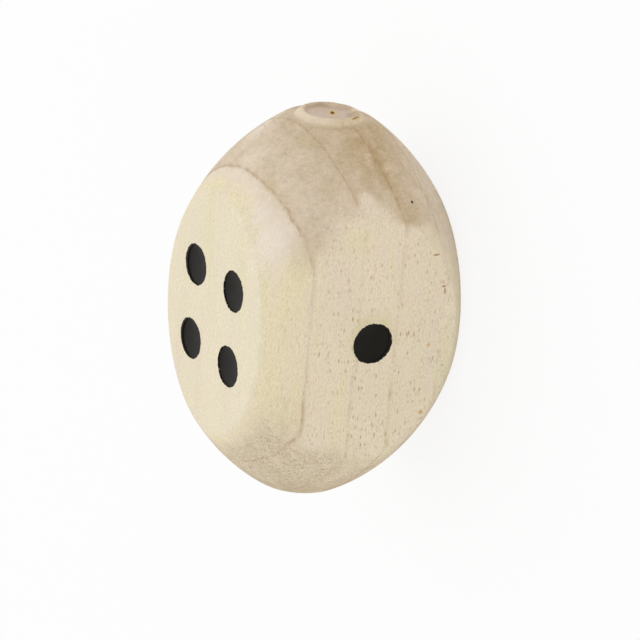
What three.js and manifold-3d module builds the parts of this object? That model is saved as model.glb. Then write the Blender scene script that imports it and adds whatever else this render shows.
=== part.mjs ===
// A four-sided long die: one turned wooden barrel with four planed flats and ten painted pips.
// It lies on its face of 2, with the face of 4 up. X runs along the turning axis, from the plain
// foot end to the end that keeps the stub. The origin is the middle of the resting face.

import * as THREE from 'three';
import { mergeVertices } from 'three/addons/utils/BufferGeometryUtils.js';
import Module from 'manifold-3d';

// Driving dimensions of the wood, in millimetres
const LENGTH = 30; // foot face to stub rim, along the turning axis
const WIDEST_DIAMETER = 23.3; // of the turned barrel
const WIDEST_FROM_FOOT = 14.4; // the barrel is widest a little nearer the foot
const ACROSS_FLATS = 17.5; // between opposite faces
const EDGE_SOFTENING = 0.8; // reach of the sanding that rounds the edges of the flats
const FOOT_DIAMETER = 7.8; // where the barrel would meet the foot face with a sharp rim
const FOOT_RIM = 0.35; // reach of the sanding on that rim
const SHOULDER_DIAMETER = 6.8; // where the barrel ends, at the foot of the stub
const STUB_DIAMETER = 5.9;
const STUB_HEIGHT = 0.5;
const STUB_RIM = 0.75; // width of the rounded rim round the stub's end face
const STUB_DISH = 0.14; // how far the end face dips in its middle

// Driving dimensions of the pips, in millimetres
const PIP_DIAMETER = 3.1;
const PIP_PITCH = 6; // side of the square on which two or more pips stand
const LONE_PIP_DRIFT = -0.2; // the lone pip of 1 was pressed a little below the middle of its face
const DIMPLE_WALL = 0.15; // straight wall at the mouth of a dimple
const DIMPLE_BOWL = 0.3; // the round bottom goes this much deeper
const PAINT_CLEARANCE = 0.02; // between paint and wood
const PAINT_SINK = 0.03; // the paint's edge lies this far below the face
const PAINT_THICKNESS = 0.2; // in the middle of a pip

// Fineness of the round surfaces
const STEPS_AROUND = 80;
const STEPS_PER_SHOULDER = 16;
const STEPS_PER_RIM = 3;
const PIP_STEPS_AROUND = 24;
const PIP_STEPS_ACROSS = 3;

const HALF_ACROSS = ACROSS_FLATS / 2;
const PIP_RADIUS = PIP_DIAMETER / 2;
const QUARTER_TURN = Math.PI / 2;

const wasm = await Module();
wasm.setup();

// A closed geometry as a solid: shared corners merged, and the empty triangles at the poles dropped
function solidOf(geometry) {
  const bare = new THREE.BufferGeometry();
  bare.setAttribute('position', geometry.getAttribute('position'));
  bare.setIndex(geometry.getIndex());
  const merged = mergeVertices(bare, 1e-4);
  const index = merged.getIndex().array;
  const kept = [];
  for (let i = 0; i < index.length; i += 3) {
    const [a, b, c] = index.slice(i, i + 3);
    if (a !== b && b !== c && c !== a) kept.push(a, b, c);
  }
  return new wasm.Manifold(new wasm.Mesh({
    numProp: 3,
    vertProperties: new Float32Array(merged.getAttribute('position').array),
    triVerts: new Uint32Array(kept),
  }));
}

function geometryOf(solid) {
  const mesh = solid.getMesh();
  const geometry = new THREE.BufferGeometry();
  geometry.setAttribute('position', new THREE.BufferAttribute(mesh.vertProperties, mesh.numProp));
  geometry.setIndex(new THREE.BufferAttribute(mesh.triVerts, 1));
  geometry.computeVertexNormals();
  return geometry;
}

// The smaller of two lengths, eased into one another where they differ by less than the reach.
// Outside that reach it is exactly the smaller one, so the flats stay truly flat.
function easedMinimum(first, second, reach) {
  const closeness = Math.max(reach - Math.abs(first - second), 0) / reach;
  return Math.min(first, second) - (closeness * closeness * reach) / 4;
}

// One half of the barrel: a circular arc that is level at the widest station and falls to the
// end radius at the end of the half. It gives the radius at a distance from the widest station.
function shoulderRadius(distance, halfLength, endRadius) {
  const drop = WIDEST_DIAMETER / 2 - endRadius;
  const sweep = (drop * drop + halfLength * halfLength) / (2 * drop);
  return Math.sqrt(sweep * sweep - distance * distance) - sweep + WIDEST_DIAMETER / 2;
}

// The turned blank's outline as (radius, station) points, with the widest station at zero
function turnedProfile() {
  const footHalf = WIDEST_FROM_FOOT;
  const stubHalf = LENGTH - WIDEST_FROM_FOOT - STUB_HEIGHT;
  const footRadius = FOOT_DIAMETER / 2;
  const stubRadius = STUB_DIAMETER / 2;
  const faceRadius = stubRadius - STUB_RIM;
  const foot = (distance) => shoulderRadius(distance, footHalf, footRadius);

  const points = [new THREE.Vector2(0, -footHalf)];
  const rimStart = new THREE.Vector2(footRadius - FOOT_RIM, -footHalf);
  const rimCorner = new THREE.Vector2(footRadius, -footHalf);
  const rimEnd = new THREE.Vector2(foot(footHalf - FOOT_RIM / 2), FOOT_RIM / 2 - footHalf);
  points.push(...new THREE.QuadraticBezierCurve(rimStart, rimCorner, rimEnd).getPoints(STEPS_PER_RIM));

  for (let i = 1; i <= STEPS_PER_SHOULDER; i += 1) {
    const station = rimEnd.y * (1 - i / STEPS_PER_SHOULDER);
    points.push(new THREE.Vector2(foot(-station), station));
  }
  for (let i = 1; i <= STEPS_PER_SHOULDER; i += 1) {
    const station = (stubHalf * i) / STEPS_PER_SHOULDER;
    points.push(new THREE.Vector2(shoulderRadius(station, stubHalf, SHOULDER_DIAMETER / 2), station));
  }

  const rim = new THREE.EllipseCurve(faceRadius, stubHalf, STUB_RIM, STUB_HEIGHT, 0, QUARTER_TURN);
  points.push(...rim.getPoints(STEPS_PER_RIM));
  const dish = new THREE.QuadraticBezierCurve(
    new THREE.Vector2(faceRadius, stubHalf + STUB_HEIGHT),
    new THREE.Vector2(faceRadius / 2, stubHalf + STUB_HEIGHT - STUB_DISH),
    new THREE.Vector2(0, stubHalf + STUB_HEIGHT - STUB_DISH),
  );
  points.push(...dish.getPoints(STEPS_PER_RIM).slice(1));
  return points;
}

// The blank is turned as a lathe would, laid along X, and then planed: every point that stands
// proud of a flat is drawn straight in towards the axis until it lies on that flat.
function planedBlank() {
  const geometry = new THREE.LatheGeometry(turnedProfile(), STEPS_AROUND);
  geometry.rotateZ(-QUARTER_TURN);
  const position = geometry.getAttribute('position');
  for (let i = 0; i < position.count; i += 1) {
    const y = position.getY(i);
    const z = position.getZ(i);
    const turned = Math.hypot(y, z);
    const steepest = Math.max(Math.abs(y), Math.abs(z));
    if (steepest > 0) {
      const planed = (HALF_ACROSS * turned) / steepest;
      const share = easedMinimum(turned, planed, EDGE_SOFTENING) / turned;
      position.setY(i, y * share);
      position.setZ(i, z * share);
    }
  }
  return geometry;
}

// A bowl of a given depth as (radius, height) points, from its middle out to its edge at edgeHeight
function bowlPoints(radius, depth, edgeHeight) {
  const sweep = (radius * radius + depth * depth) / (2 * depth);
  const reach = Math.asin(radius / sweep);
  const points = [];
  for (let i = 0; i <= PIP_STEPS_ACROSS; i += 1) {
    const angle = (reach * i) / PIP_STEPS_ACROSS;
    const rise = sweep * (1 - Math.cos(angle));
    points.push(new THREE.Vector2(i === 0 ? 0 : sweep * Math.sin(angle), edgeHeight - depth + rise));
  }
  return points;
}

// The cutter for one dimple, with its mouth at height zero and its body standing clear above it
function dimpleCutter() {
  const above = DIMPLE_WALL + DIMPLE_BOWL;
  const points = bowlPoints(PIP_RADIUS, DIMPLE_BOWL, -DIMPLE_WALL);
  points.push(new THREE.Vector2(PIP_RADIUS, above), new THREE.Vector2(0, above));
  return lieAlongZ(new THREE.LatheGeometry(points, PIP_STEPS_AROUND));
}

// The paint in one dimple: it follows the bowl below, and its own face dries to a shallower bowl
function paintPool() {
  const radius = PIP_RADIUS - PAINT_CLEARANCE;
  const underside = bowlPoints(radius, DIMPLE_BOWL, PAINT_CLEARANCE - DIMPLE_WALL);
  const hollow = DIMPLE_WALL + DIMPLE_BOWL - PAINT_CLEARANCE - PAINT_THICKNESS - PAINT_SINK;
  const face = bowlPoints(radius, hollow, -PAINT_SINK);
  return lieAlongZ(new THREE.LatheGeometry([...underside, ...face.reverse()], PIP_STEPS_AROUND));
}

// A lathe turns about Y, and a face's own outward direction is Z
function lieAlongZ(geometry) {
  return geometry.rotateX(QUARTER_TURN);
}

// Where the pips stand on a face, in millimetres along the die and across it. They are centred on
// the length of the flats, which is where the barrel is widest.
const STEP = PIP_PITCH / 2;
const PIP_LAYOUTS = {
  1: [[0, LONE_PIP_DRIFT]],
  2: [[STEP, STEP], [-STEP, -STEP]],
  3: [[STEP, STEP], [0, 0], [-STEP, -STEP]],
  4: [[STEP, STEP], [STEP, -STEP], [-STEP, STEP], [-STEP, -STEP]],
};

// Each face's turn about the die's long axis, from the top: 4 is up, 1 is at the front
const FACE_TURNS = { 4: 0, 1: QUARTER_TURN, 2: 2 * QUARTER_TURN, 3: -QUARTER_TURN };

const wood = new THREE.MeshStandardMaterial({ color: 0xe0d2b4, roughness: 0.6, metalness: 0 });

function addPiece(parent, name, geometry, material) {
  const mesh = new THREE.Mesh(geometry, material);
  mesh.name = name;
  parent.add(mesh);
  return mesh;
}

// Every face is a group that is turned with its flat, and holds its pips where they belong.
// The same places give the dimples that are cut from the wood.
function paintFaces(die) {
  const cutter = dimpleCutter();
  const pool = paintPool();
  const cuts = [];
  for (const [number, layout] of Object.entries(PIP_LAYOUTS)) {
    const face = new THREE.Group();
    face.rotation.x = FACE_TURNS[number];
    die.add(face);
    layout.forEach(([along, across], i) => {
      const paint = new THREE.MeshStandardMaterial({ color: 0x201f1c, roughness: 0.5, metalness: 0 });
      const pip = addPiece(face, `pip_${number}_${i + 1}`, pool, paint);
      pip.position.set(along, across, HALF_ACROSS);
      face.updateMatrix();
      pip.updateMatrix();
      cuts.push(cutter.clone().applyMatrix4(pip.matrix).applyMatrix4(face.matrix));
    });
  }
  return cuts;
}

const die = new THREE.Group();
const widestFromMiddle = WIDEST_FROM_FOOT - LENGTH / 2;
die.position.set(widestFromMiddle, 0, HALF_ACROSS);

const dimples = paintFaces(die);
const body = dimples.reduce((rest, cut) => rest.subtract(solidOf(cut)), solidOf(planedBlank()));
addPiece(die, 'wooden_body', geometryOf(body), wood);

export default die;
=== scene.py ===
# %% [markdown]
# # A four-sided wooden die
#
# The real thing is one piece of pale hardwood: turned on a lathe to a barrel, parted off with a small
# stub, planed to four flats, sanded, and given shallow dimples that are filled with black paint.
# This lesson follows the same order of work in Blender. It starts from the measured solids, which
# say where everything is, and gives them the surface that a camera sees.

# %% Load the measured die
import bpy
import math
from collections import namedtuple
from mathutils import Euler, Matrix, Vector
from types import SimpleNamespace


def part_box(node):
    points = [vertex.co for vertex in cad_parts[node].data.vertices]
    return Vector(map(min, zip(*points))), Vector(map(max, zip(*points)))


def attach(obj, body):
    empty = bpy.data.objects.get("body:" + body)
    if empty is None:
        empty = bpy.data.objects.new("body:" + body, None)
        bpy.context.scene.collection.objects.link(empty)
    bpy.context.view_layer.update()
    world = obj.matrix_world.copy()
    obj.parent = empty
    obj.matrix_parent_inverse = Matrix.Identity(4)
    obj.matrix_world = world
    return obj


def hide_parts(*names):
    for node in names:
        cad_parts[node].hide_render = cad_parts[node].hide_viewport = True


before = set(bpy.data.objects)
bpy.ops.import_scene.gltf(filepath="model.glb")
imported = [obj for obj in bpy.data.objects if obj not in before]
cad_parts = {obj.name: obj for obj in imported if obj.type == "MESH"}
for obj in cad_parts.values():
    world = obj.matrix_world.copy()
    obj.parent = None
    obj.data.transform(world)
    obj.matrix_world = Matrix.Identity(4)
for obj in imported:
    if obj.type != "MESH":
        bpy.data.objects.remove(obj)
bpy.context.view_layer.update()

# %% [markdown]
# ## Working in millimetres
#
# A die is small, and many of Blender's tools have tolerances meant for things the size of a chair.
# So every piece is modelled at a thousand times its size, where one unit is a millimetre, and is
# shrunk once it is finished. The length and the width across the flats are read from the measured
# die, and the rest are the sizes at which it is turned and bored.

# %% Sizes of the die, in millimetres
MM = 0.001
body_low, body_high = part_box("wooden_body")
FOOT_END = body_low.x / MM
STUB_END = body_high.x / MM
HALF_ACROSS = (body_high.z - body_low.z) / MM / 2
AXIS = Vector((0, 0, HALF_ACROSS))

WIDEST_RADIUS = 11.53
WIDEST_FROM_FOOT = 14.4
WIDEST_STATION = FOOT_END + WIDEST_FROM_FOOT
FOOT_RADIUS = 3.5
SHOULDER_RADIUS = 3.27
STUB_HEIGHT = 0.5
SHOULDER_STATION = STUB_END - STUB_HEIGHT

PIP_RADIUS = 1.55
DIMPLE_WALL = 0.15
DIMPLE_BOWL = 0.3
PAINT_SINK = 0.09
PAINT_HOLLOW = 0.2

# Each face's number, with its turn about the die's long axis, counted from the face that is up
FACE_TURNS = {4: 0, 1: math.pi / 2, 2: math.pi, 3: -math.pi / 2}
print("across the flats:", 2 * HALF_ACROSS, "length:", STUB_END - FOOT_END)

# %% [markdown]
# ## The camera
#
# The picture was taken a short way off with a long lens, and the die is shown standing on its end.
# Here it lies on a face as a thrown die does, so the camera is rolled over on its side instead.
# The camera's own axes are worked out first: back points from the die to the camera, and up is the
# die's long axis as the camera sees it, leaning by the roll.

# %% Place the camera
AZIMUTH = math.radians(23.33)
ELEVATION = math.radians(28.61)
ROLL = math.radians(-5.05)
CAMERA_DISTANCE = 250 * MM
LENS = 182.8
AIM_RIGHT = 0.55 * MM
AIM_DOWN = 1.26 * MM
NEAREST_SEEN = 10 * MM

middle = Vector((WIDEST_STATION, 0, HALF_ACROSS)) * MM
level = math.cos(ELEVATION)
back = Vector((math.sin(AZIMUTH) * level, -math.cos(AZIMUTH) * level, math.sin(ELEVATION)))
long_axis = Vector((1, 0, 0))
upright = (long_axis - back * long_axis.dot(back)).normalized()
up = math.cos(ROLL) * upright + math.sin(ROLL) * upright.cross(back)
right = up.cross(back)

stand = middle + back * CAMERA_DISTANCE
aim = middle + right * AIM_RIGHT - up * AIM_DOWN
view_back = (stand - aim).normalized()
view_right = up.cross(view_back).normalized()
view_up = view_back.cross(view_right)

camera_data = bpy.data.cameras.new("camera")
camera_data.lens = LENS
camera_data.clip_start = NEAREST_SEEN
camera = bpy.data.objects.new("camera", camera_data)
turned_to_aim = Matrix((view_right, view_up, view_back)).transposed()
camera.matrix_world = Matrix.Translation(stand) @ turned_to_aim.to_4x4()
bpy.context.scene.collection.objects.link(camera)
bpy.context.scene.camera = camera
print("camera at", tuple(round(value, 4) for value in stand))

# %% [markdown]
# ## Helpers for the bench
#
# An operator works on whatever is selected, so each piece starts with nothing selected. A lathe is
# Blender's spin: a half outline is drawn by pulling one point along from place to place, and the line
# is swept round an axis. Spinning leaves a seam and may turn the skin inside out, so the doubles are
# merged and the normals are made to point outwards.

# %% Bench helpers
NEAR = 1e-4


def start_clean():
    bpy.ops.object.select_all(action="DESELECT")


def pick(piece):
    start_clean()
    piece.select_set(True)
    bpy.context.view_layer.objects.active = piece


def use_modifier(piece, kind, **settings):
    pick(piece)
    modifier = piece.modifiers.new(kind.lower(), kind)
    for name, value in settings.items():
        setattr(modifier, name, value)
    bpy.ops.object.modifier_apply(modifier=modifier.name)


def fix_place(piece):
    pick(piece)
    bpy.ops.object.transform_apply(location=True, rotation=True, scale=True)


def turn_on_lathe(name, outline, axis, steps, centre=(0, 0, 0)):
    start_clean()
    bpy.ops.mesh.primitive_plane_add(size=1)
    piece = bpy.context.object
    piece.name = name
    piece.data.name = name
    bpy.ops.object.mode_set(mode="EDIT")
    bpy.ops.mesh.select_all(action="SELECT")
    bpy.ops.mesh.merge(type="CENTER")
    bpy.ops.transform.translate(value=outline[0])
    for here, there in zip(outline, outline[1:]):
        bpy.ops.mesh.extrude_vertices_move(TRANSFORM_OT_translate={"value": there - here})
    bpy.ops.mesh.select_all(action="SELECT")
    bpy.ops.mesh.spin(steps=steps, angle=2 * math.pi, center=centre, axis=axis)
    bpy.ops.mesh.select_all(action="SELECT")
    bpy.ops.mesh.remove_doubles(threshold=NEAR)
    bpy.ops.mesh.normals_make_consistent(inside=False)
    bpy.ops.object.mode_set(mode="OBJECT")
    return piece


def copy_to(piece, name, place, turn):
    pick(piece)
    bpy.ops.object.duplicate(linked=False)
    twin = bpy.context.object
    twin.name = name
    twin.data.name = name
    twin.location = place
    twin.rotation_euler = Euler((turn, 0, 0))
    fix_place(twin)
    return twin


def join_all(pieces):
    pick(pieces[0])
    for piece in pieces:
        piece.select_set(True)
    bpy.ops.object.join()
    return bpy.context.object


def cut_away(piece, cutter, operation="DIFFERENCE"):
    use_modifier(piece, "BOOLEAN", operation=operation, object=cutter, solver="EXACT")
    bpy.data.objects.remove(cutter)


def shrink_to_metres(piece):
    piece.scale = (MM, MM, MM)
    fix_place(piece)


def report(piece):
    triangles = sum(len(face.vertices) - 2 for face in piece.data.polygons)
    print(piece.name, "has", triangles, "triangles, and measures", tuple(piece.dimensions))


print("points closer than", NEAR, "mm are merged")

# %% [markdown]
# ## Turning the barrel
#
# The barrel's outline is two circular arcs that meet level at the widest ring. One falls to the
# plain foot and on into a little waste wood, the other to the shoulder round the stub. The stub is left
# off for now: it is a crisp little detail, and the sanding that comes next would blur it.

# %% Turn the barrel
LATHE_STEPS = 192
STATIONS = 96
WASTE = 1.0


def barrel_radius(station):
    distance = station - WIDEST_STATION
    half, end = SHOULDER_STATION - WIDEST_STATION, SHOULDER_RADIUS
    if distance < 0:
        half, end = WIDEST_STATION - FOOT_END, FOOT_RADIUS
    drop = WIDEST_RADIUS - end
    sweep = (drop**2 + half**2) / (2 * drop)
    return math.sqrt(sweep**2 - distance**2) - sweep + WIDEST_RADIUS


def beside_axis(station, radius):
    return AXIS + Vector((station, 0, radius))


blank_start = FOOT_END - WASTE
blank_length = SHOULDER_STATION - blank_start
stations = [blank_start + blank_length * i / STATIONS for i in range(STATIONS + 1)]
barrel_outline = [beside_axis(station, barrel_radius(station)) for station in stations]
barrel_outline.insert(0, beside_axis(blank_start, 0))
barrel_outline.append(beside_axis(SHOULDER_STATION, 0))
wood = turn_on_lathe("turned_wood", barrel_outline, (1, 0, 0), LATHE_STEPS, AXIS)
report(wood)

# %% [markdown]
# ## Planing and sanding the flats
#
# Each flat is one bisect: everything outside the plane is cleared and the cut is filled. That
# leaves sharp edges, which no wooden toy has. A bevel would need room that the fine mesh at an edge
# doesn't have, so the whole skin is remeshed in even little squares and smoothed. Smoothing wears an
# edge down and leaves a flat flat, as sandpaper does. The waste is sawn off at the foot only then, which
# leaves that rim crisp.

# %% Plane and sand the flats
GRIT = 0.165
STROKES = 22
PRESSURE = 0.5


def outward_of(turn):
    return Matrix.Rotation(turn, 3, "X") @ Vector((0, 0, 1))


def saw_off(piece, spot, outward):
    pick(piece)
    bpy.ops.object.mode_set(mode="EDIT")
    bpy.ops.mesh.select_all(action="SELECT")
    bpy.ops.mesh.bisect(plane_co=spot, plane_no=outward, use_fill=True, clear_outer=True, threshold=NEAR)
    bpy.ops.object.mode_set(mode="OBJECT")


for turn in FACE_TURNS.values():
    outward = outward_of(turn)
    saw_off(wood, AXIS + outward * HALF_ACROSS, outward)
use_modifier(wood, "REMESH", mode="VOXEL", voxel_size=GRIT, adaptivity=0, use_smooth_shade=True)
use_modifier(wood, "SMOOTH", factor=PRESSURE, iterations=STROKES)
saw_off(wood, beside_axis(FOOT_END, 0), Vector((-1, 0, 0)))
report(wood)

# %% [markdown]
# ## The stub
#
# When the die is parted off, a low stub is left at one end. Its side slopes up to a rounded crest,
# and inside the crest the end dips where the fibres tore out. Both slopes ease in and out, so the
# outline is drawn with a cosine. The stub is turned like the barrel, with its lower part buried in the
# shoulder. Torn wood isn't even, so a Displace modifier with a cloud texture lowers it here and there
# before it is joined on.

# %% Turn the stub and join it on
STUB_STEPS = 96
SLOPE_STEPS = 10
BURIED = 1.5
STUB_FOOT_RADIUS = 2.95
STUB_FOOT_DROP = 0.12
STUB_FOOT_STATION = SHOULDER_STATION - STUB_FOOT_DROP
CREST_RADIUS = 2.12
DISH_RADIUS = 1.65
STUB_DISH = 0.22
TEAR_SIZE = 0.9
TEAR_DEPTH = 0.08
TEAR_LEVEL = 0.85


def ease(share):
    return (1 - math.cos(math.pi * share)) / 2


def sloping(start, end):
    steps = [i / SLOPE_STEPS for i in range(SLOPE_STEPS + 1)]
    return [
        beside_axis(start[0] + (end[0] - start[0]) * ease(share), start[1] + (end[1] - start[1]) * share)
        for share in steps
    ]


stub_outline = [beside_axis(SHOULDER_STATION - BURIED, 0)]
stub_outline.append(beside_axis(SHOULDER_STATION - BURIED, STUB_FOOT_RADIUS))
stub_outline += sloping((STUB_FOOT_STATION, STUB_FOOT_RADIUS), (STUB_END, CREST_RADIUS))
stub_outline += sloping((STUB_END, CREST_RADIUS), (STUB_END - STUB_DISH, DISH_RADIUS))[1:]
stub_outline.append(beside_axis(STUB_END - STUB_DISH, 0))
stub = turn_on_lathe("stub", stub_outline, (1, 0, 0), STUB_STEPS, AXIS)
tear = bpy.data.textures.new("torn_fibres", "CLOUDS")
tear.noise_scale = TEAR_SIZE
use_modifier(stub, "DISPLACE", texture=tear, direction="X", mid_level=TEAR_LEVEL, strength=TEAR_DEPTH)
cut_away(wood, stub, operation="UNION")
report(wood)

# %% [markdown]
# ## The pit and the split
#
# Where the last fibres let go there is a small pit in the dish, and a short split along the crest.
# One pointed pick is turned for the pit. A copy of it, stretched along the crest, is the pick for the
# split, and both are joined so that the wood is cut only once.

# %% Pick out the pit and the split
PIT_PLACE = Vector((STUB_END - STUB_DISH, 0.01, 8.51))
PIT_DEPTH = 0.3
PIT_LIP = 0.1
PIT_RADIUS = 0.14
PIT_STEPS = 12
SPLIT_SINK = 0.17
SPLIT_PLACE = Vector((STUB_END - SPLIT_SINK, -2.0, 7.65))
SPLIT_TURN = math.radians(-61)
SPLIT_STRETCH = (0.6, 3.6, 0.36)

pit_outline = [Vector((-PIT_DEPTH, 0, 0)), Vector((PIT_LIP, 0, PIT_RADIUS)), Vector((PIT_LIP, 0, 0))]
pit = turn_on_lathe("pit", pit_outline, (1, 0, 0), PIT_STEPS)
split = copy_to(pit, "split", (0, 0, 0), 0)
pit.location = PIT_PLACE
fix_place(pit)
split.scale = SPLIT_STRETCH
split.rotation_euler = (SPLIT_TURN, 0, 0)
split.location = SPLIT_PLACE
fix_place(split)
cut_away(wood, join_all([pit, split]))
report(wood)

# %% [markdown]
# ## Boring the dimples
#
# Every pip stands in a shallow dimple with a short wall and a round bottom. One cutter is turned and
# copied to all ten places, which are read from the measured pips, and the copies are joined so that
# the wood is cut only once.

# %% Bore the dimples
PIP_STEPS = 64
BOWL_STEPS = 8
CUTTER_TOP = 1.0
WOOD_CREASE = math.radians(28)


def bowl(radius, depth, edge):
    sweep = (radius**2 + depth**2) / (2 * depth)
    reach = math.asin(radius / sweep)
    points = []
    for i in range(BOWL_STEPS + 1):
        angle = reach * i / BOWL_STEPS
        points.append(Vector((sweep * math.sin(angle), 0, edge - depth + sweep * (1 - math.cos(angle)))))
    return points


def pip_spot(node, number):
    low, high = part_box(node)
    outward = outward_of(FACE_TURNS[number])
    centre = (low + high) / 2 / MM
    return centre + outward * (HALF_ACROSS - (centre - AXIS).dot(outward))


pip_nodes = sorted(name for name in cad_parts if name.startswith("pip_"))
pips = []
for node in pip_nodes:
    number = int(node.split("_")[1])
    pips.append((node, pip_spot(node, number), FACE_TURNS[number]))

cutter_outline = bowl(PIP_RADIUS, DIMPLE_BOWL, -DIMPLE_WALL)
cutter_outline.append(Vector((PIP_RADIUS, 0, CUTTER_TOP)))
cutter_outline.append(Vector((0, 0, CUTTER_TOP)))
cutter = turn_on_lathe("dimple_cutter", cutter_outline, (0, 0, 1), PIP_STEPS)
copies = [copy_to(cutter, "cut_" + node, spot, turn) for node, spot, turn in pips]
bpy.data.objects.remove(cutter)
cut_away(wood, join_all(copies))
shrink_to_metres(wood)
pick(wood)
bpy.ops.object.shade_smooth_by_angle(angle=WOOD_CREASE)
report(wood)

# %% [markdown]
# ## Pouring the paint
#
# The paint fills most of a dimple and dries with a hollow face, a hair below the wood, so that a thin
# dark line of wall shows on the far side of a pip. One pool is turned, and each pip gets its own copy,
# which stands for that pip of the measured die.

# %% Pour the paint
PAINT_GAP = 0.004
PAINT_CREASE = math.radians(40)

paint_radius = PIP_RADIUS - PAINT_GAP
pool_outline = bowl(paint_radius, DIMPLE_BOWL, PAINT_GAP - DIMPLE_WALL)
pool_outline += bowl(paint_radius, PAINT_HOLLOW, -PAINT_SINK)[::-1]
pool = turn_on_lathe("paint_pool", pool_outline, (0, 0, 1), PIP_STEPS)
paint_pools = []
for node, spot, turn in pips:
    paint = copy_to(pool, node.replace("pip", "paint"), spot, turn)
    shrink_to_metres(paint)
    pick(paint)
    bpy.ops.object.shade_smooth_by_angle(angle=PAINT_CREASE)
    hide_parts(node)
    paint_pools.append(paint)
bpy.data.objects.remove(pool)
report(paint_pools[0])

# %% [markdown]
# ## Sums with shader values
#
# A material is a chain of small sums. Written as nodes by hand they fill pages, so one small class
# wraps a socket and lets Python's own signs make the Math nodes. Every other node comes from one
# method, which sets the node up first and then fills or links its sockets.

# %% A class for shader values


def fill_ramp(ramp, stops):
    while len(ramp.elements) < len(stops):
        ramp.elements.new(1)
    for element, (place, value) in zip(ramp.elements, stops):
        element.position = place
        element.color = (value, value, value, 1)


class Shade:
    def __init__(self, tree, socket):
        self.tree = tree
        self.socket = socket

    def node(self, kind, settings=None, sockets=None, output=0):
        made = self.tree.nodes.new(kind)
        for name, value in (settings or {}).items():
            if name == "stops":
                fill_ramp(made.color_ramp, value)
            else:
                setattr(made, name, value)
        for key, value in (sockets or {}).items():
            if isinstance(value, Shade):
                self.tree.links.new(value.socket, made.inputs[key])
            else:
                made.inputs[key].default_value = value
        return Shade(self.tree, made.outputs[output])

    def also(self, output):
        """Another output of the node that this value comes from."""
        return Shade(self.tree, self.socket.node.outputs[output])

    def math(self, operation, first, second=0.0):
        return self.node("ShaderNodeMath", {"operation": operation}, {0: first, 1: second})

    def __add__(self, other):
        return self.math("ADD", self, other)

    def __sub__(self, other):
        return self.math("SUBTRACT", self, other)

    def __rsub__(self, other):
        return self.math("SUBTRACT", other, self)

    def __mul__(self, other):
        return self.math("MULTIPLY", self, other)

    def __truediv__(self, other):
        return self.math("DIVIDE", self, other)

    def __pow__(self, other):
        return self.math("POWER", self, other)

    def __abs__(self):
        return self.math("ABSOLUTE", self)

    __radd__ = __add__
    __rmul__ = __mul__

    def lowest(self, other):
        return self.math("MINIMUM", self, other)

    def highest(self, other):
        return self.math("MAXIMUM", self, other)

    def step(self, start, end):
        """0 before start and 1 after end, with a soft step between them."""
        settings = {"interpolation_type": "SMOOTHSTEP"}
        sockets = {"Value": self, "From Min": start, "From Max": end}
        return self.node("ShaderNodeMapRange", settings, sockets)

    def stretched(self, along, across):
        sockets = {0: self, 1: (along, across, across)}
        return self.node("ShaderNodeVectorMath", {"operation": "MULTIPLY"}, sockets)

    def noise(self, along, across, detail=2.0, roughness=0.5):
        """Clouds about zero, with so many to a millimetre along the fibres and across them."""
        sockets = {"Vector": self.stretched(along, across), "Scale": 1.0}
        sockets |= {"Detail": detail, "Roughness": roughness}
        return self.node("ShaderNodeTexNoise", {}, sockets) - 0.5

    def distance_to(self, point):
        return self.node("ShaderNodeVectorMath", {"operation": "DISTANCE"}, {0: self, 1: point}, "Value")

    def tint(self, colour, amount):
        """This colour, with another laid over it by an amount."""
        settings = {"data_type": "RGBA", "blend_type": "MIX", "clamp_factor": True}
        return self.node("ShaderNodeMix", settings, {0: amount, 6: self, 7: colour}, 2)

    def brightened(self, share):
        """This colour, times a value."""
        settings = {"operation": "SCALE"}
        return self.node("ShaderNodeVectorMath", settings, {0: self, "Scale": share})


print("shader values can be added, multiplied, stepped and tinted")

# %% [markdown]
# ## Starting a material
#
# Every material starts in the same way, with the Principled shader that Blender gives it and the place
# of a point on the piece. That place comes from Object coordinates, which are in metres here, and is
# scaled back to millimetres, so that the sizes of a pattern read like the sizes of the die.

# %% Helpers for materials


def begin_material(name):
    material = bpy.data.materials.new(name)
    material.use_nodes = True
    tree = material.node_tree
    shader = tree.nodes["Principled BSDF"]
    start = Shade(tree, shader.outputs[0])
    metres = start.node("ShaderNodeTexCoord", output="Object")
    place = metres.node("ShaderNodeVectorMath", {"operation": "SCALE"}, {0: metres, "Scale": 1 / MM})
    return material, shader, place


def flat_colour(start, colour):
    made = start.node("ShaderNodeRGB")
    made.socket.default_value = colour
    return made


def plug(value, shader, socket):
    value.tree.links.new(value.socket, shader.inputs[socket])


def give(piece, material):
    piece.data.materials.clear()
    piece.data.materials.append(material)


print("patterns are measured in units of", MM, "m")

# %% [markdown]
# ## Growth rings
#
# The fibres run along the die, and the growth rings are parts of large circles round a heart that lay
# far below it. Where the turning cuts the fibres across, the wood darkens slowly towards each ring from
# the outside, ends in a brown line, and is soon lighter again inside it. A ramp over the distance from
# the heart holds these tones, from 0 for the palest wood to 1 for the darkest. Two more ramps hold the
# lines alone: thin and strong where the fibres are cut across, wider and faint where they are cut along.
# A little noise keeps the circles from being true.

# %% Draw the growth rings
HEART_Y = 3.74
HEART_Z = -23.04

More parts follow.
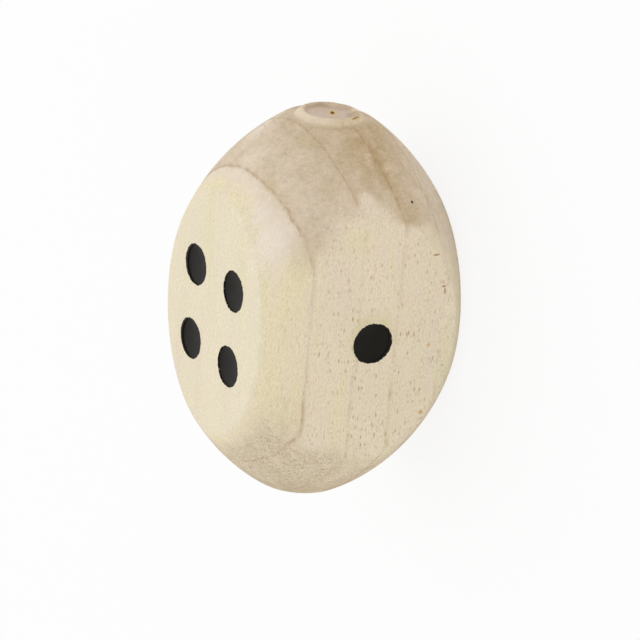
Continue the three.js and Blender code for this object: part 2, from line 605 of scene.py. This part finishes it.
# Each ring's distance from the heart, the tones inside its line, on it and outside it, and how strong
# the line itself is where the fibres are cut across, and where they are cut along
Ring = namedtuple("Ring", "radius inside on_line outside across along")
RINGS = (
    Ring(25.4, inside=0.12, on_line=0.25, outside=0.16, across=0.25, along=0.08),
    Ring(28.5, inside=0.24, on_line=0.46, outside=0.40, across=0.40, along=0.12),
    Ring(32.1, inside=0.64, on_line=0.88, outside=0.82, across=1.00, along=0.16),
    Ring(35.25, inside=0.62, on_line=0.67, outside=0.60, across=0.55, along=0.17),
    Ring(39.2, inside=0.42, on_line=0.54, outside=0.20, across=0.60, along=0.27),
)
RING_MARGIN = 4
OUTERMOST_RING = RINGS[-1].radius
RING_START = RINGS[0].radius - RING_MARGIN
RING_REACH = OUTERMOST_RING + RING_MARGIN - RING_START

# How far inside its line a ring begins to darken, and has done a third of it, how far outside the line
# the next wood begins, and how far outside the last one the tone is down to nothing
DARKENS = 1.3
THIRD_DARKENED = 0.45
NEXT_WOOD = 0.15
LAST_FADE = 1.5

# How far a line reaches inside its ring and outside it, and how far inside it is strongest
ACROSS_WIDTHS = (0.14, 0.08)
ALONG_WIDTHS = (0.34, 0.12)
LINE_PEAK = 0.01


def ring_share(radius):
    return (radius - RING_START) / RING_REACH


def ring_tone_stops():
    stops = []
    for ring in RINGS:
        a_third = (2 * ring.inside + ring.on_line) / 3
        stops.append((ring_share(ring.radius - DARKENS), ring.inside))
        stops.append((ring_share(ring.radius - THIRD_DARKENED), a_third))
        stops.append((ring_share(ring.radius), ring.on_line))
        stops.append((ring_share(ring.radius + NEXT_WOOD), ring.outside))
    stops.append((ring_share(OUTERMOST_RING + LAST_FADE), 0.0))
    return stops


def ring_line_stops(strengths, widths):
    before, after = widths
    stops = []
    for ring, strength in zip(RINGS, strengths):
        stops.append((ring_share(ring.radius - before), 0.0))
        stops.append((ring_share(ring.radius - LINE_PEAK), strength))
        stops.append((ring_share(ring.radius + after), 0.0))
    return stops


def growth_rings(place, y, z):
    off_y = y - HEART_Y
    off_z = z - HEART_Z
    wander = place.noise(0.12, 0.3) * 0.4 + place.noise(0.6, 1.6) * 0.2 + place.noise(2.5, 3.5) * 0.1
    radius = (off_y * off_y + off_z * off_z) ** 0.5 + wander
    share = ring_share(radius)
    tone = share.node("ShaderNodeValToRGB", {"stops": ring_tone_stops()}, {0: share})
    across_stops = ring_line_stops([ring.across for ring in RINGS], ACROSS_WIDTHS)
    along_stops = ring_line_stops([ring.along for ring in RINGS], ALONG_WIDTHS)
    across = share.node("ShaderNodeValToRGB", {"stops": across_stops}, {0: share})
    along = share.node("ShaderNodeValToRGB", {"stops": along_stops}, {0: share})
    return radius, tone, across, along


print(len(RINGS), "rings, the outermost", OUTERMOST_RING, "mm from the heart")

# %% [markdown]
# ## Pores
#
# Hardwood carries its sap in fine tubes that run along the fibres. A cut along them leaves short
# dashes, and a cut across them leaves dots. A Voronoi texture that is stretched along the fibres
# scatters cells of that shape. Its distance draws a pore in the middle of each cell, and its random
# colour makes every pore lighter or darker than the next, so that they don't look printed.

# %% Scatter the pores

# Cells to a millimetre along the fibres and across them, and where the edge of a pore starts and ends
PORES = (1.25, 3.3, 0.10, 0.34)
FINE_PORES = (2.3, 5.4, 0.12, 0.38)
PORE_CHANCE = (0.1, 0.95)


def pores(place, along, across, inner, outer):
    cells = place.stretched(along, across)
    distance = cells.node("ShaderNodeTexVoronoi", {}, {"Vector": cells, "Scale": 1.0, "Randomness": 1.0})
    colour = distance.also("Color")
    chance = colour.node("ShaderNodeSeparateXYZ", {}, {0: colour})
    return (1 - distance.step(inner, outer)) * chance.step(*PORE_CHANCE)


pore_count = round(PORES[0] * PORES[1])
fine_count = round(FINE_PORES[0] * FINE_PORES[1])
print("to a square millimetre:", pore_count, "pores and", fine_count, "fine ones")

# %% [markdown]
# ## Small marks
#
# A real die has its own small marks: a black speck, two orange flecks, a few brown scratches, the
# pit and the split on the stub. Each one is a blot round a point. A Mapping node of the Texture kind
# moves, turns and shrinks the space round that point, so that the blot ends where the length is about
# 1. A soft patch is a blot with no core, which fades all the way out from its middle.

# %% List the small marks
SPECK_BLACK = (0.012, 0.009, 0.007, 1)
FLECK_ORANGE = (0.66, 0.33, 0.09, 1)
SCRATCH_BROWN = (0.42, 0.22, 0.10, 1)
PIT_BROWN = (0.21, 0.07, 0.02, 1)
SPLIT_RED = (0.39, 0.18, 0.075, 1)
TORN_TAN = (0.46, 0.32, 0.18, 1)
PIT_YELLOW = (0.72, 0.55, 0.20, 1)
PIT_TURN = math.radians(-29)
BLOT_CORE = 0.55
BLOT_EDGE = 1.1

# Colour, strength, place, turn about the long axis, and half sizes along the mark's own X, Y and Z
MARKS = (
    (SPECK_BLACK, 1.0, (9.86, -7.43, 5.37), 0, (0.14, 0.14, 0.14)),
    (FLECK_ORANGE, 0.8, (-6.79, -8.66, 3.59), 0, (0.22, 0.3, 0.24)),
    (FLECK_ORANGE, 0.6, (-1.27, -8.75, 3.51), 0, (0.2, 0.3, 0.15)),
    (SCRATCH_BROWN, 0.9, (5.95, -8.62, 3.58), 0, (0.09, 0.4, 0.38)),
    (SCRATCH_BROWN, 0.8, (2.97, -8.72, 2.52), 0, (0.3, 0.4, 0.1)),
    (SCRATCH_BROWN, 0.8, (3.35, -8.7, 2.66), 0, (0.1, 0.4, 0.24)),
    (TORN_TAN, 0.55, (STUB_END - 0.1, -1.2, 7.4), PIT_TURN, (0.6, 1.1, 0.65)),
    (PIT_YELLOW, 0.75, PIT_PLACE, PIT_TURN, (0.5, 0.75, 0.4)),
    (PIT_BROWN, 0.95, PIT_PLACE, PIT_TURN, (0.5, 0.46, 0.2)),
    (PIT_YELLOW, 0.3, SPLIT_PLACE, SPLIT_TURN, (0.5, 0.75, 0.25)),
    (SPLIT_RED, 0.9, SPLIT_PLACE, SPLIT_TURN, (0.35, 0.56, 0.065)),
)


def blot(place, centre, turn, sizes, core=BLOT_CORE):
    sockets = {"Vector": place, "Location": centre, "Rotation": (turn, 0, 0), "Scale": sizes}
    local = place.node("ShaderNodeMapping", {"vector_type": "TEXTURE"}, sockets)
    reach = local.node("ShaderNodeVectorMath", {"operation": "LENGTH"}, {0: local}, "Value")
    return 1 - reach.step(core, BLOT_EDGE)


def soft_patch(place, centre, sizes):
    return blot(place, centre, 0, sizes, 0.0)


def add_marks(place, colour):
    for mark, strength, centre, turn, sizes in MARKS:
        colour = colour.tint(mark, blot(place, centre, turn, sizes) * strength)
    return colour


print(len(MARKS), "marks")

# %% [markdown]
# ## Planed wood and end grain
#
# A plane runs along the fibres and leaves them pale and close. The turning tool cuts them across more
# and more towards the ends, and such end grain is darker, browner and mottled. A point is on a flat when
# its distance from the axis, sideways or upwards, is that of the flats. Noise makes the border ragged,
# a few shifts move it where the sanding went further or less far, and low down towards the foot it
# fades over a slightly longer way.

# %% Tell planed wood from end grain
BORDER = 1.45
FOOT_BORDER = 1.5
RAGGED_NOISE = (0.5, 0.9, 3.0)
RAGGED_REACH = 1.4

# Stations, heights and distances, in millimetres, between which something changes. The fade of the
# border is in shares of its depth.
FOOT_HALF = (-6.0, 0.0)
UPPER_PART = (11.0, 14.0)
TOP_FACE = (2 * HALF_ACROSS - 0.3, 2 * HALF_ACROSS - 0.03)
CUT_ACROSS = (2.5, 9.0)
YOUNG_WOOD = (OUTERMOST_RING - 0.4, OUTERMOST_RING + 1.2)
BORDER_FADE = (0.2, 1.0)

# Place, half sizes, and how far the border of the flat is moved outwards there
BORDER_SHIFTS = (
    ((7.6, -8.75, 13.6), (2.6, 2.0, 2.6), -0.9),
    ((10.1, -8.0, 9.6), (2.2, 2.0, 1.0), 0.9),
    ((9.1, -8.4, 5.9), (1.8, 2.0, 2.9), -0.85),
    ((-9.6, -8.4, 10.8), (2.4, 2.0, 4.6), -0.95),
)


def survey(place):
    at = SimpleNamespace(place=place)
    at.x = place.node("ShaderNodeSeparateXYZ", {}, {0: place})
    at.y = at.x.also(1)
    at.z = at.x.also(2)
    rise = at.z - HALF_ACROSS
    at.from_axis = (at.y * at.y + rise * rise) ** 0.5
    at.ragged = place.noise(*RAGGED_NOISE)
    at.towards_foot = 1 - at.x.step(*FOOT_HALF)
    gap = HALF_ACROSS - abs(at.y).highest(abs(rise)) + at.ragged * RAGGED_REACH
    for centre, sizes, shift in BORDER_SHIFTS:
        gap = gap - soft_patch(place, centre, sizes) * shift
    long_fade = at.towards_foot * (1 - at.z.step(*UPPER_PART))
    depth = BORDER + (FOOT_BORDER - BORDER) * long_fade
    at.planed = 1 - (gap / depth).step(*BORDER_FADE)
    at.on_top = at.planed * at.z.step(*TOP_FACE)
    at.cross_cut = abs(at.x - WIDEST_STATION).step(*CUT_ACROSS) * (1 - at.planed)
    at.radius, at.ring_tone, at.line_across, at.line_along = growth_rings(place, at.y, at.z)
    at.young = at.radius.step(*YOUNG_WOOD)
    return at


print("the border of a flat is", BORDER, "mm deep, and", FOOT_BORDER, "towards the foot")

# %% [markdown]
# ## Base colours
#
# The youngest wood, outside the last ring, is yellowish where it is turned and palest on the upper flat.
# The older wood on the front flat is a little pinker. End grain runs from a pinkish white to a tan by
# the tone of its ring, and is whitest in one patch by the upper flat. Long faint streaks of yellow and
# pink follow the fibres everywhere. Soft patches are lighter, darker or yellower than any of these rules
# makes them. The brown lines of the rings come last, and are broken here and there.

# %% Lay the base colours
PALE = (0.81, 0.73, 0.55, 1)
OLD_PINK = (0.80, 0.69, 0.52, 1)
TURNED_CREAM = (0.825, 0.725, 0.505, 1)
END_LIGHT = (0.865, 0.755, 0.625, 1)
END_DARK = (0.47, 0.33, 0.168, 1)
END_OLIVE = (0.62, 0.51, 0.30, 1)
END_PINK = (0.74, 0.575, 0.42, 1)
FOOT_OLIVE = (0.65, 0.60, 0.44, 1)
STREAK_YELLOW = (0.78, 0.69, 0.43, 1)
STREAK_PINK = (0.80, 0.66, 0.53, 1)
RING_BROWN = (0.38, 0.215, 0.09, 1)
SAP_WHITE = (0.88, 0.775, 0.655, 1)
SAP_PLACE = (7.6, -5.6, 16.6)
SAP_SIZES = (4.0, 3.4, 1.8)
FOOT_TONE = 0.69
STUB_TONE = 0.22
FOOT_RIM_TONE = 0.17
STREAK_NOISE = (0.07, 0.8, 3.0)
PATCHY_NOISE = (0.35, 0.7, 3.0)
BREAK_NOISE = (0.7, 1.5)
BREAKS = (-0.18, 0.12)

# Heights and stations between which the wood changes; over the lowest heights painted light lightens it
LOW_PAINTED_LIGHT = (1.2, 5.0)
BY_STUB = (10.0, 14.0)
ABOVE_AXIS = (7.0, 11.5)
FOOT_RIM = (-14.5, -11.0)

# Colour, strength, place and half sizes of the soft patches that no rule explains
PATCHES = (
    (SAP_WHITE, 0.7, (13.4, 2.6, 13.2), (2.2, 2.4, 3.0)),
    (SAP_WHITE, 0.5, (11.8, -0.3, 15.4), (1.7, 1.9, 1.6)),
    (END_DARK, 0.6, (14.1, -3.7, 7.8), (1.3, 1.4, 0.9)),
    (END_DARK, 0.3, (13.8, -3.9, 10.5), (1.1, 1.4, 1.3)),
    (END_OLIVE, 0.45, (6.5, -7.9, 14.9), (2.2, 1.6, 1.4)),
    (STREAK_YELLOW, 0.4, (5.2, -7.9, 15.6), (2.2, 1.8, 1.6)),
    (STREAK_YELLOW, 0.6, (7.6, -8.7, 10.6), (1.8, 1.5, 2.4)),
    (END_OLIVE, 0.3, (-5.8, -8.4, 15.0), (3.4, 2.0, 2.0)),
)


def lay_base(at):
    young_colour = flat_colour(at.place, TURNED_CREAM).tint(PALE, at.on_top)
    colour = flat_colour(at.place, OLD_PINK).tint(young_colour, at.young)
    # Painted light: the lowest wood, next to the table, is lightened towards the pale colour
    colour = colour.tint(PALE, (1 - at.z.step(*LOW_PAINTED_LIGHT)) * 0.9)
    streak = at.place.noise(*STREAK_NOISE)
    colour = colour.tint(STREAK_YELLOW, streak * 2.6)
    colour = colour.tint(STREAK_PINK, streak * -3.0)
    by_stub = at.x.step(*BY_STUB) * (1 - at.z.step(*ABOVE_AXIS))
    by_foot = 1 - at.x.step(*FOOT_RIM)
    tone = at.ring_tone.highest(at.towards_foot * FOOT_TONE)
    tone = tone + by_stub * STUB_TONE + by_foot * FOOT_RIM_TONE
    patchy = at.place.noise(*PATCHY_NOISE)
    end_colour = flat_colour(at.place, END_LIGHT).tint(END_DARK, tone + patchy * 0.45)
    end_colour = end_colour.tint(END_OLIVE, patchy * tone * 2.5).tint(END_PINK, patchy * tone * -4)
    end_colour = end_colour.tint(FOOT_OLIVE, at.towards_foot * 0.3)
    colour = colour.tint(end_colour, at.cross_cut)
    sap = soft_patch(at.place, SAP_PLACE, SAP_SIZES) * at.young
    colour = colour.tint(SAP_WHITE, sap * (0.75 + at.ragged * 1.5))
    for patch, strength, centre, sizes in PATCHES:
        colour = colour.tint(patch, soft_patch(at.place, centre, sizes) * (strength + at.ragged))
    broken = at.place.noise(*BREAK_NOISE).step(*BREAKS).highest(at.towards_foot * 0.4)
    along = at.line_along * (1 + at.towards_foot) * (1 - at.cross_cut)
    across = at.line_across * (1 + 0.4 * at.towards_foot) * at.cross_cut
    return colour.tint(RING_BROWN, (along + across) * broken)


print(len(PATCHES), "soft patches")

# %% [markdown]
# ## Fibres, pores and end grain
#
# Close up, planed wood is a fine stipple of fibres with short dark pores, more of them in the older
# wood. End grain is a tangle of pale and dark threads, crossed by the strokes of the turning tool.
# What is darker is mostly lower too, so the same values are returned as a height.

# %% Lay the fibres, pores and end grain
PORE_BROWN = (0.42, 0.29, 0.14, 1)
THREAD_PALE = (0.88, 0.79, 0.60, 1)
THREAD_DARK = (0.45, 0.33, 0.19, 1)

# Clouds to a millimetre along the fibres and across them, then detail and roughness
FIBRES = (0.9, 8.0, 3.0)
STIPPLE = (4.0, 8.0, 2.0)
MOTTLE = (2.2, 2.2, 4.0, 0.7)
TOOL_STROKES = (4.5, 0.9, 2.0)
THREADS = (4.2, 4.2, 3.0, 0.6)
CLOUDS = (0.12, 0.35)
CROWDING = (0.3, 0.6, 2.0)

# Distances from the heart between which pores get fewer, and stations between which the wood changes
FEWER_PORES = (OUTERMOST_RING - 1.8, OUTERMOST_RING + 2.4)
STUB_HALF = (-1.0, 5.0)
ROUGH_START = (-14.4, -12.4)
ROUGH_END = (-6.5, -2.5)


def lay_grain(at, colour):
    fibre = at.place.noise(*FIBRES)
    stipple = at.place.noise(*STIPPLE)
    mottle = at.place.noise(*MOTTLE)
    turning = at.place.noise(*TOOL_STROKES)
    threads = at.place.noise(*THREADS)
    cloud = at.place.noise(*CLOUDS)
    crowding = at.place.noise(*CROWDING)

    pore = pores(at.place, *PORES)
    fine_pore = pores(at.place, *FINE_PORES)
    old = 1 - 0.8 * at.radius.step(*FEWER_PORES)
    share = old * (1 - at.on_top) * (1 - 0.6 * at.cross_cut) * (1 + crowding * 2.5)
    share = share * (1 - 0.35 * at.x.step(*STUB_HALF))
    colour = colour.tint(PORE_BROWN, (pore * 0.7 + fine_pore * 0.42) * share)

    rough_band = at.x.step(*ROUGH_START) * (1 - at.x.step(*ROUGH_END))
    coarse = at.cross_cut * 0.3 + (1 - at.planed) * rough_band
    colour = colour.tint(THREAD_PALE, (1 - (abs(threads) * 14).lowest(1)) * coarse * 0.5)
    colour = colour.tint(THREAD_DARK, (abs(threads) - 0.08) * coarse * 3.5)
    colour = colour.tint(THREAD_DARK, (turning - 0.06) * at.cross_cut * at.ring_tone**2 * 5.5)
    planed_tone = stipple * 0.42 + fibre * 0.22
    end_tone = (mottle * 0.42 + stipple * 0.15) * (1 - 0.5 * at.young)
    tone = 1.005 + cloud * 0.1 + planed_tone * (1 - at.cross_cut) + end_tone * at.cross_cut
    height = fibre * 0.3 + stipple * 0.5 + mottle * at.cross_cut - (pore + fine_pore * 0.5) * share
    return colour.brightened(tone), height, mottle


print("fibres are about", 1 / FIBRES[1], "mm thick")

# %% [markdown]
# ## Colours of the stub
#
# The stub's crest is a little paler than the shoulder below it, and fades into it. The dish inside is
# pinker. Painted shade darkens the wall of the dish on the side that faces away from the lamp, and the
# far, lower side of the crest. The upper side of the stub is tinted pinkish white, partly its own colour
# and partly painted light.

# %% Lay the colours of the stub
CREST_CREAM = (0.82, 0.69, 0.50, 1)
DISH_PINK = (0.64, 0.50, 0.395, 1)
# Brown of the painted shade on the stub
STUB_SHADE_BROWN = (0.40, 0.27, 0.17, 1)
STUB_RISE = (STUB_FOOT_STATION - 0.1, SHOULDER_STATION + 0.2)

# Distances from the axis between which the stub, its dish and the painted shade on the wall of the dish
# fade
STUB_EDGE = (2.4, 3.45)
DISH_EDGE = (1.75, 2.15)
WALL_SHADE_EDGE = (1.3, 1.8)


def lay_stub(at, colour, mottle):
    outwards = at.from_axis + at.ragged * 1.2
    on_stub = at.x.step(*STUB_RISE) * (1 - outwards.step(*STUB_EDGE))
    in_dish = on_stub * (1 - outwards.step(*DISH_EDGE))
    colour = colour.tint(CREST_CREAM, on_stub * (0.72 + at.ragged * 1.5 + mottle))
    colour = colour.tint(DISH_PINK, in_dish * (0.85 + mottle * 1.2))
    colour = colour.brightened(1 + mottle * in_dish * 0.4)
    rise = at.z - HALF_ACROSS
    # Painted shade: the wall of the dish that faces away from the lamp, and the far, lower side of the
    # crest, are darkened with brown
    wall_shade = in_dish * outwards.step(*WALL_SHADE_EDGE) * (at.y * 0.45 + rise * 0.3).step(-0.1, 0.9)
    far_rim_shade = on_stub * (at.y - rise * 0.6).step(0.6, 2.0)
    # Partly painted light: the upper side of the stub, towards the lamp, is tinted pinkish white, besides
    # the wood's own paler colour there
    colour = colour.tint(END_LIGHT, on_stub * rise.step(0.8, 2.2) * 0.3)
    return colour.tint(STUB_SHADE_BROWN, wall_shade * 0.45).tint(STUB_SHADE_BROWN, far_rim_shade * 0.35)


print("the colours of the stub end", STUB_EDGE[1], "mm from the axis")

# %% [markdown]
# ## Where the paint soaked in
#
# Paint creeps a hair's breadth into the wood round each dimple, so the pips have ragged edges, and some
# ran a little to one side. The oil of the lone pip left a yellow tinge, mostly above it.

# %% Lay the soaked edges
OIL_YELLOW = (0.62, 0.57, 0.27, 1)
SOAKED_BLACK = (0.010, 0.008, 0.006, 1)
OIL_SHIFT = Vector((0.55, 0, 0))
OIL_EDGE = (1.35, 2.5)
SOAKED_EDGE = (PIP_RADIUS + 0.01, PIP_RADIUS + 0.05)
SOAKED_NOISE = (3.0, 5.0, 3.0)
SOAKED_REACH = 0.22

# How far the paint of a pip ran to one side
PAINT_RUNS = {
    "pip_1_1": Vector((-0.05, 0, -0.2)),
    "pip_4_1": Vector((0, 0.24, 0)),
    "pip_4_3": Vector((0, 0.2, 0)),
    "pip_4_4": Vector((0, -0.08, 0)),
}


def lay_soaked_edges(at, colour):
    centres = [spot for _, spot, _ in pips]
    centres += [spot + PAINT_RUNS[node] for node, spot, _ in pips if node in PAINT_RUNS]
    nearest = at.place.distance_to(centres[0])
    for centre in centres[1:]:
        nearest = nearest.lowest(at.place.distance_to(centre))
    lone_pip = next(spot for node, spot, _ in pips if node == "pip_1_1")
    oil = 1 - at.place.distance_to(lone_pip + OIL_SHIFT).step(*OIL_EDGE)
    colour = colour.tint(OIL_YELLOW, oil * (0.35 + at.ragged * 0.7))
    edge = at.place.noise(*SOAKED_NOISE)
    soaked = 1 - (nearest + edge * SOAKED_REACH).step(*SOAKED_EDGE)
    return colour.tint(SOAKED_BLACK, soaked)


print(len(PAINT_RUNS), "of", len(pips), "pips ran to one side")

# %% [markdown]
# ## The wood
#
# The layers are put over one another in the order in which the real ones came: the tree's, the
# workshop's, and last the marks of use.

# %% Make the wood
WOOD_ROUGHNESS = 0.62
WOOD_SHEEN = 0.12
WOOD_BUMP = 0.4
WOOD_BUMP_DEPTH = 0.05


def make_wood():
    material, shader, place = begin_material("sanded_hardwood")
    at = survey(place)
    colour, height, mottle = lay_grain(at, lay_base(at))
    colour = lay_stub(at, colour, mottle)
    colour = lay_soaked_edges(at, add_marks(place, colour))
    plug(colour, shader, "Base Color")
    plug(WOOD_ROUGHNESS + height * 0.08, shader, "Roughness")
    sockets = {"Strength": WOOD_BUMP, "Distance": WOOD_BUMP_DEPTH * MM, "Height": height}
    plug(height.node("ShaderNodeBump", {}, sockets), shader, "Normal")
    shader.inputs["Specular IOR Level"].default_value = WOOD_SHEEN
    return material


give(wood, make_wood())
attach(wood, "root")
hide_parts("wooden_body")
print("wood material has", len(wood.active_material.node_tree.nodes), "nodes")

# %% [markdown]
# ## The paint
#
# Black paint on wood dries to a soft sheen, not a gloss, and the fibres below show through as a
# faint unevenness. Its colour is very dark, and what the eye sees is mostly the sheen.

# %% Make the paint
PAINT_BLACK = (0.006, 0.005, 0.003, 1)
PAINT_WORN = (0.013, 0.011, 0.008, 1)
PAINT_CLOUDS = (1.6, 1.6, 3.0)
PAINT_FIBRES = (1.0, 8.0)
PAINT_ROUGHNESS = 0.5
PAINT_SHEEN = 0.1
PAINT_BUMP = 0.25
PAINT_BUMP_DEPTH = 0.03


def make_paint():
    material, shader, place = begin_material("black_pip_paint")
    cloud = place.noise(*PAINT_CLOUDS)
    fibre = place.noise(*PAINT_FIBRES)
    colour = flat_colour(place, PAINT_BLACK).tint(PAINT_WORN, cloud + 0.5)
    plug(colour, shader, "Base Color")
    plug(PAINT_ROUGHNESS + cloud * 0.2 + fibre * 0.08, shader, "Roughness")
    height = fibre + cloud
    sockets = {"Strength": PAINT_BUMP, "Distance": PAINT_BUMP_DEPTH * MM, "Height": height}
    plug(height.node("ShaderNodeBump", {}, sockets), shader, "Normal")
    shader.inputs["Specular IOR Level"].default_value = PAINT_SHEEN
    return material


paint_finish = make_paint()
for paint in paint_pools:
    give(paint, paint_finish)
    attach(paint, "root")
print(len(paint_pools), "pips painted")

# %% [markdown]
# ## The table
#
# The die lies on a white table. It shows white to the camera and in reflections, because most of it
# glows for those rays alone, yet part of it stays an ordinary matt surface, so that the shadow is kept.

# %% Lay the table
TABLE_SIZE = 3.0
TABLE_WHITE = 0.9
TABLE_ROUGHNESS = 0.9
TABLE_GLOW = 0.86

start_clean()
bpy.ops.mesh.primitive_plane_add(size=TABLE_SIZE)
floor = bpy.context.object
floor.name = "white_table"


def seen_directly(start):
    by_camera = start.node("ShaderNodeLightPath", output="Is Camera Ray")
    by_gloss = by_camera.also("Is Glossy Ray")
    by_glass = by_camera.also("Is Transmission Ray")
    return by_camera.highest(by_gloss).highest(by_glass)


def make_table():
    material, shader, place = begin_material("white_table_top")
    shader.inputs["Base Color"].default_value = (TABLE_WHITE, TABLE_WHITE, TABLE_WHITE, 1)
    shader.inputs["Roughness"].default_value = TABLE_ROUGHNESS
    shader.inputs["Specular IOR Level"].default_value = 0.0
    glow = place.node("ShaderNodeEmission", {}, {"Color": (1, 1, 1, 1), "Strength": 1.0})
    matt = Shade(place.tree, shader.outputs[0])
    share = seen_directly(place) * TABLE_GLOW
    mixed = place.node("ShaderNodeMixShader", {}, {0: share, 1: matt, 2: glow})
    output = place.tree.nodes["Material Output"]
    place.tree.links.new(mixed.socket, output.inputs["Surface"])
    return material


give(floor, make_table())
print("table of", TABLE_SIZE, "m is laid")

# %% [markdown]
# ## The light
#
# Soft light comes from all round. A large soft lamp stands over the far side of the die, so that the
# upper face is the brightest, and a weaker one fills in from the front. The sky is white to the camera,
# and a little dimmer as a light.

# %% Set the light
SKY_LEVEL = 0.78

# Name, place, size and power of each lamp
LAMPS = (
    ("soft_lamp", Vector((0.03, 0.26, 0.38)), 0.4, 0.58),
    ("front_fill", Vector((0.0, -0.5, 0.05)), 0.4, 0.41),
)

for name, place, size, power in LAMPS:
    lamp_data = bpy.data.lights.new(name, "AREA")
    lamp_data.size = size
    lamp_data.energy = power
    lamp = bpy.data.objects.new(name, lamp_data)
    lamp.location = place
    lamp.rotation_euler = (middle - place).to_track_quat("-Z", "Y").to_euler()
    bpy.context.scene.collection.objects.link(lamp)

world = bpy.data.worlds.new("studio")
world.use_nodes = True
bpy.context.scene.world = world
sky = world.node_tree.nodes["Background"]
sky_start = Shade(world.node_tree, sky.outputs[0])
plug(SKY_LEVEL + (1 - SKY_LEVEL) * seen_directly(sky_start), sky, "Strength")
sky.inputs["Color"].default_value = (1, 1, 1, 1)
bpy.context.scene.view_settings.view_transform = "Standard"
print(len(LAMPS), "lamps and a sky of", SKY_LEVEL)
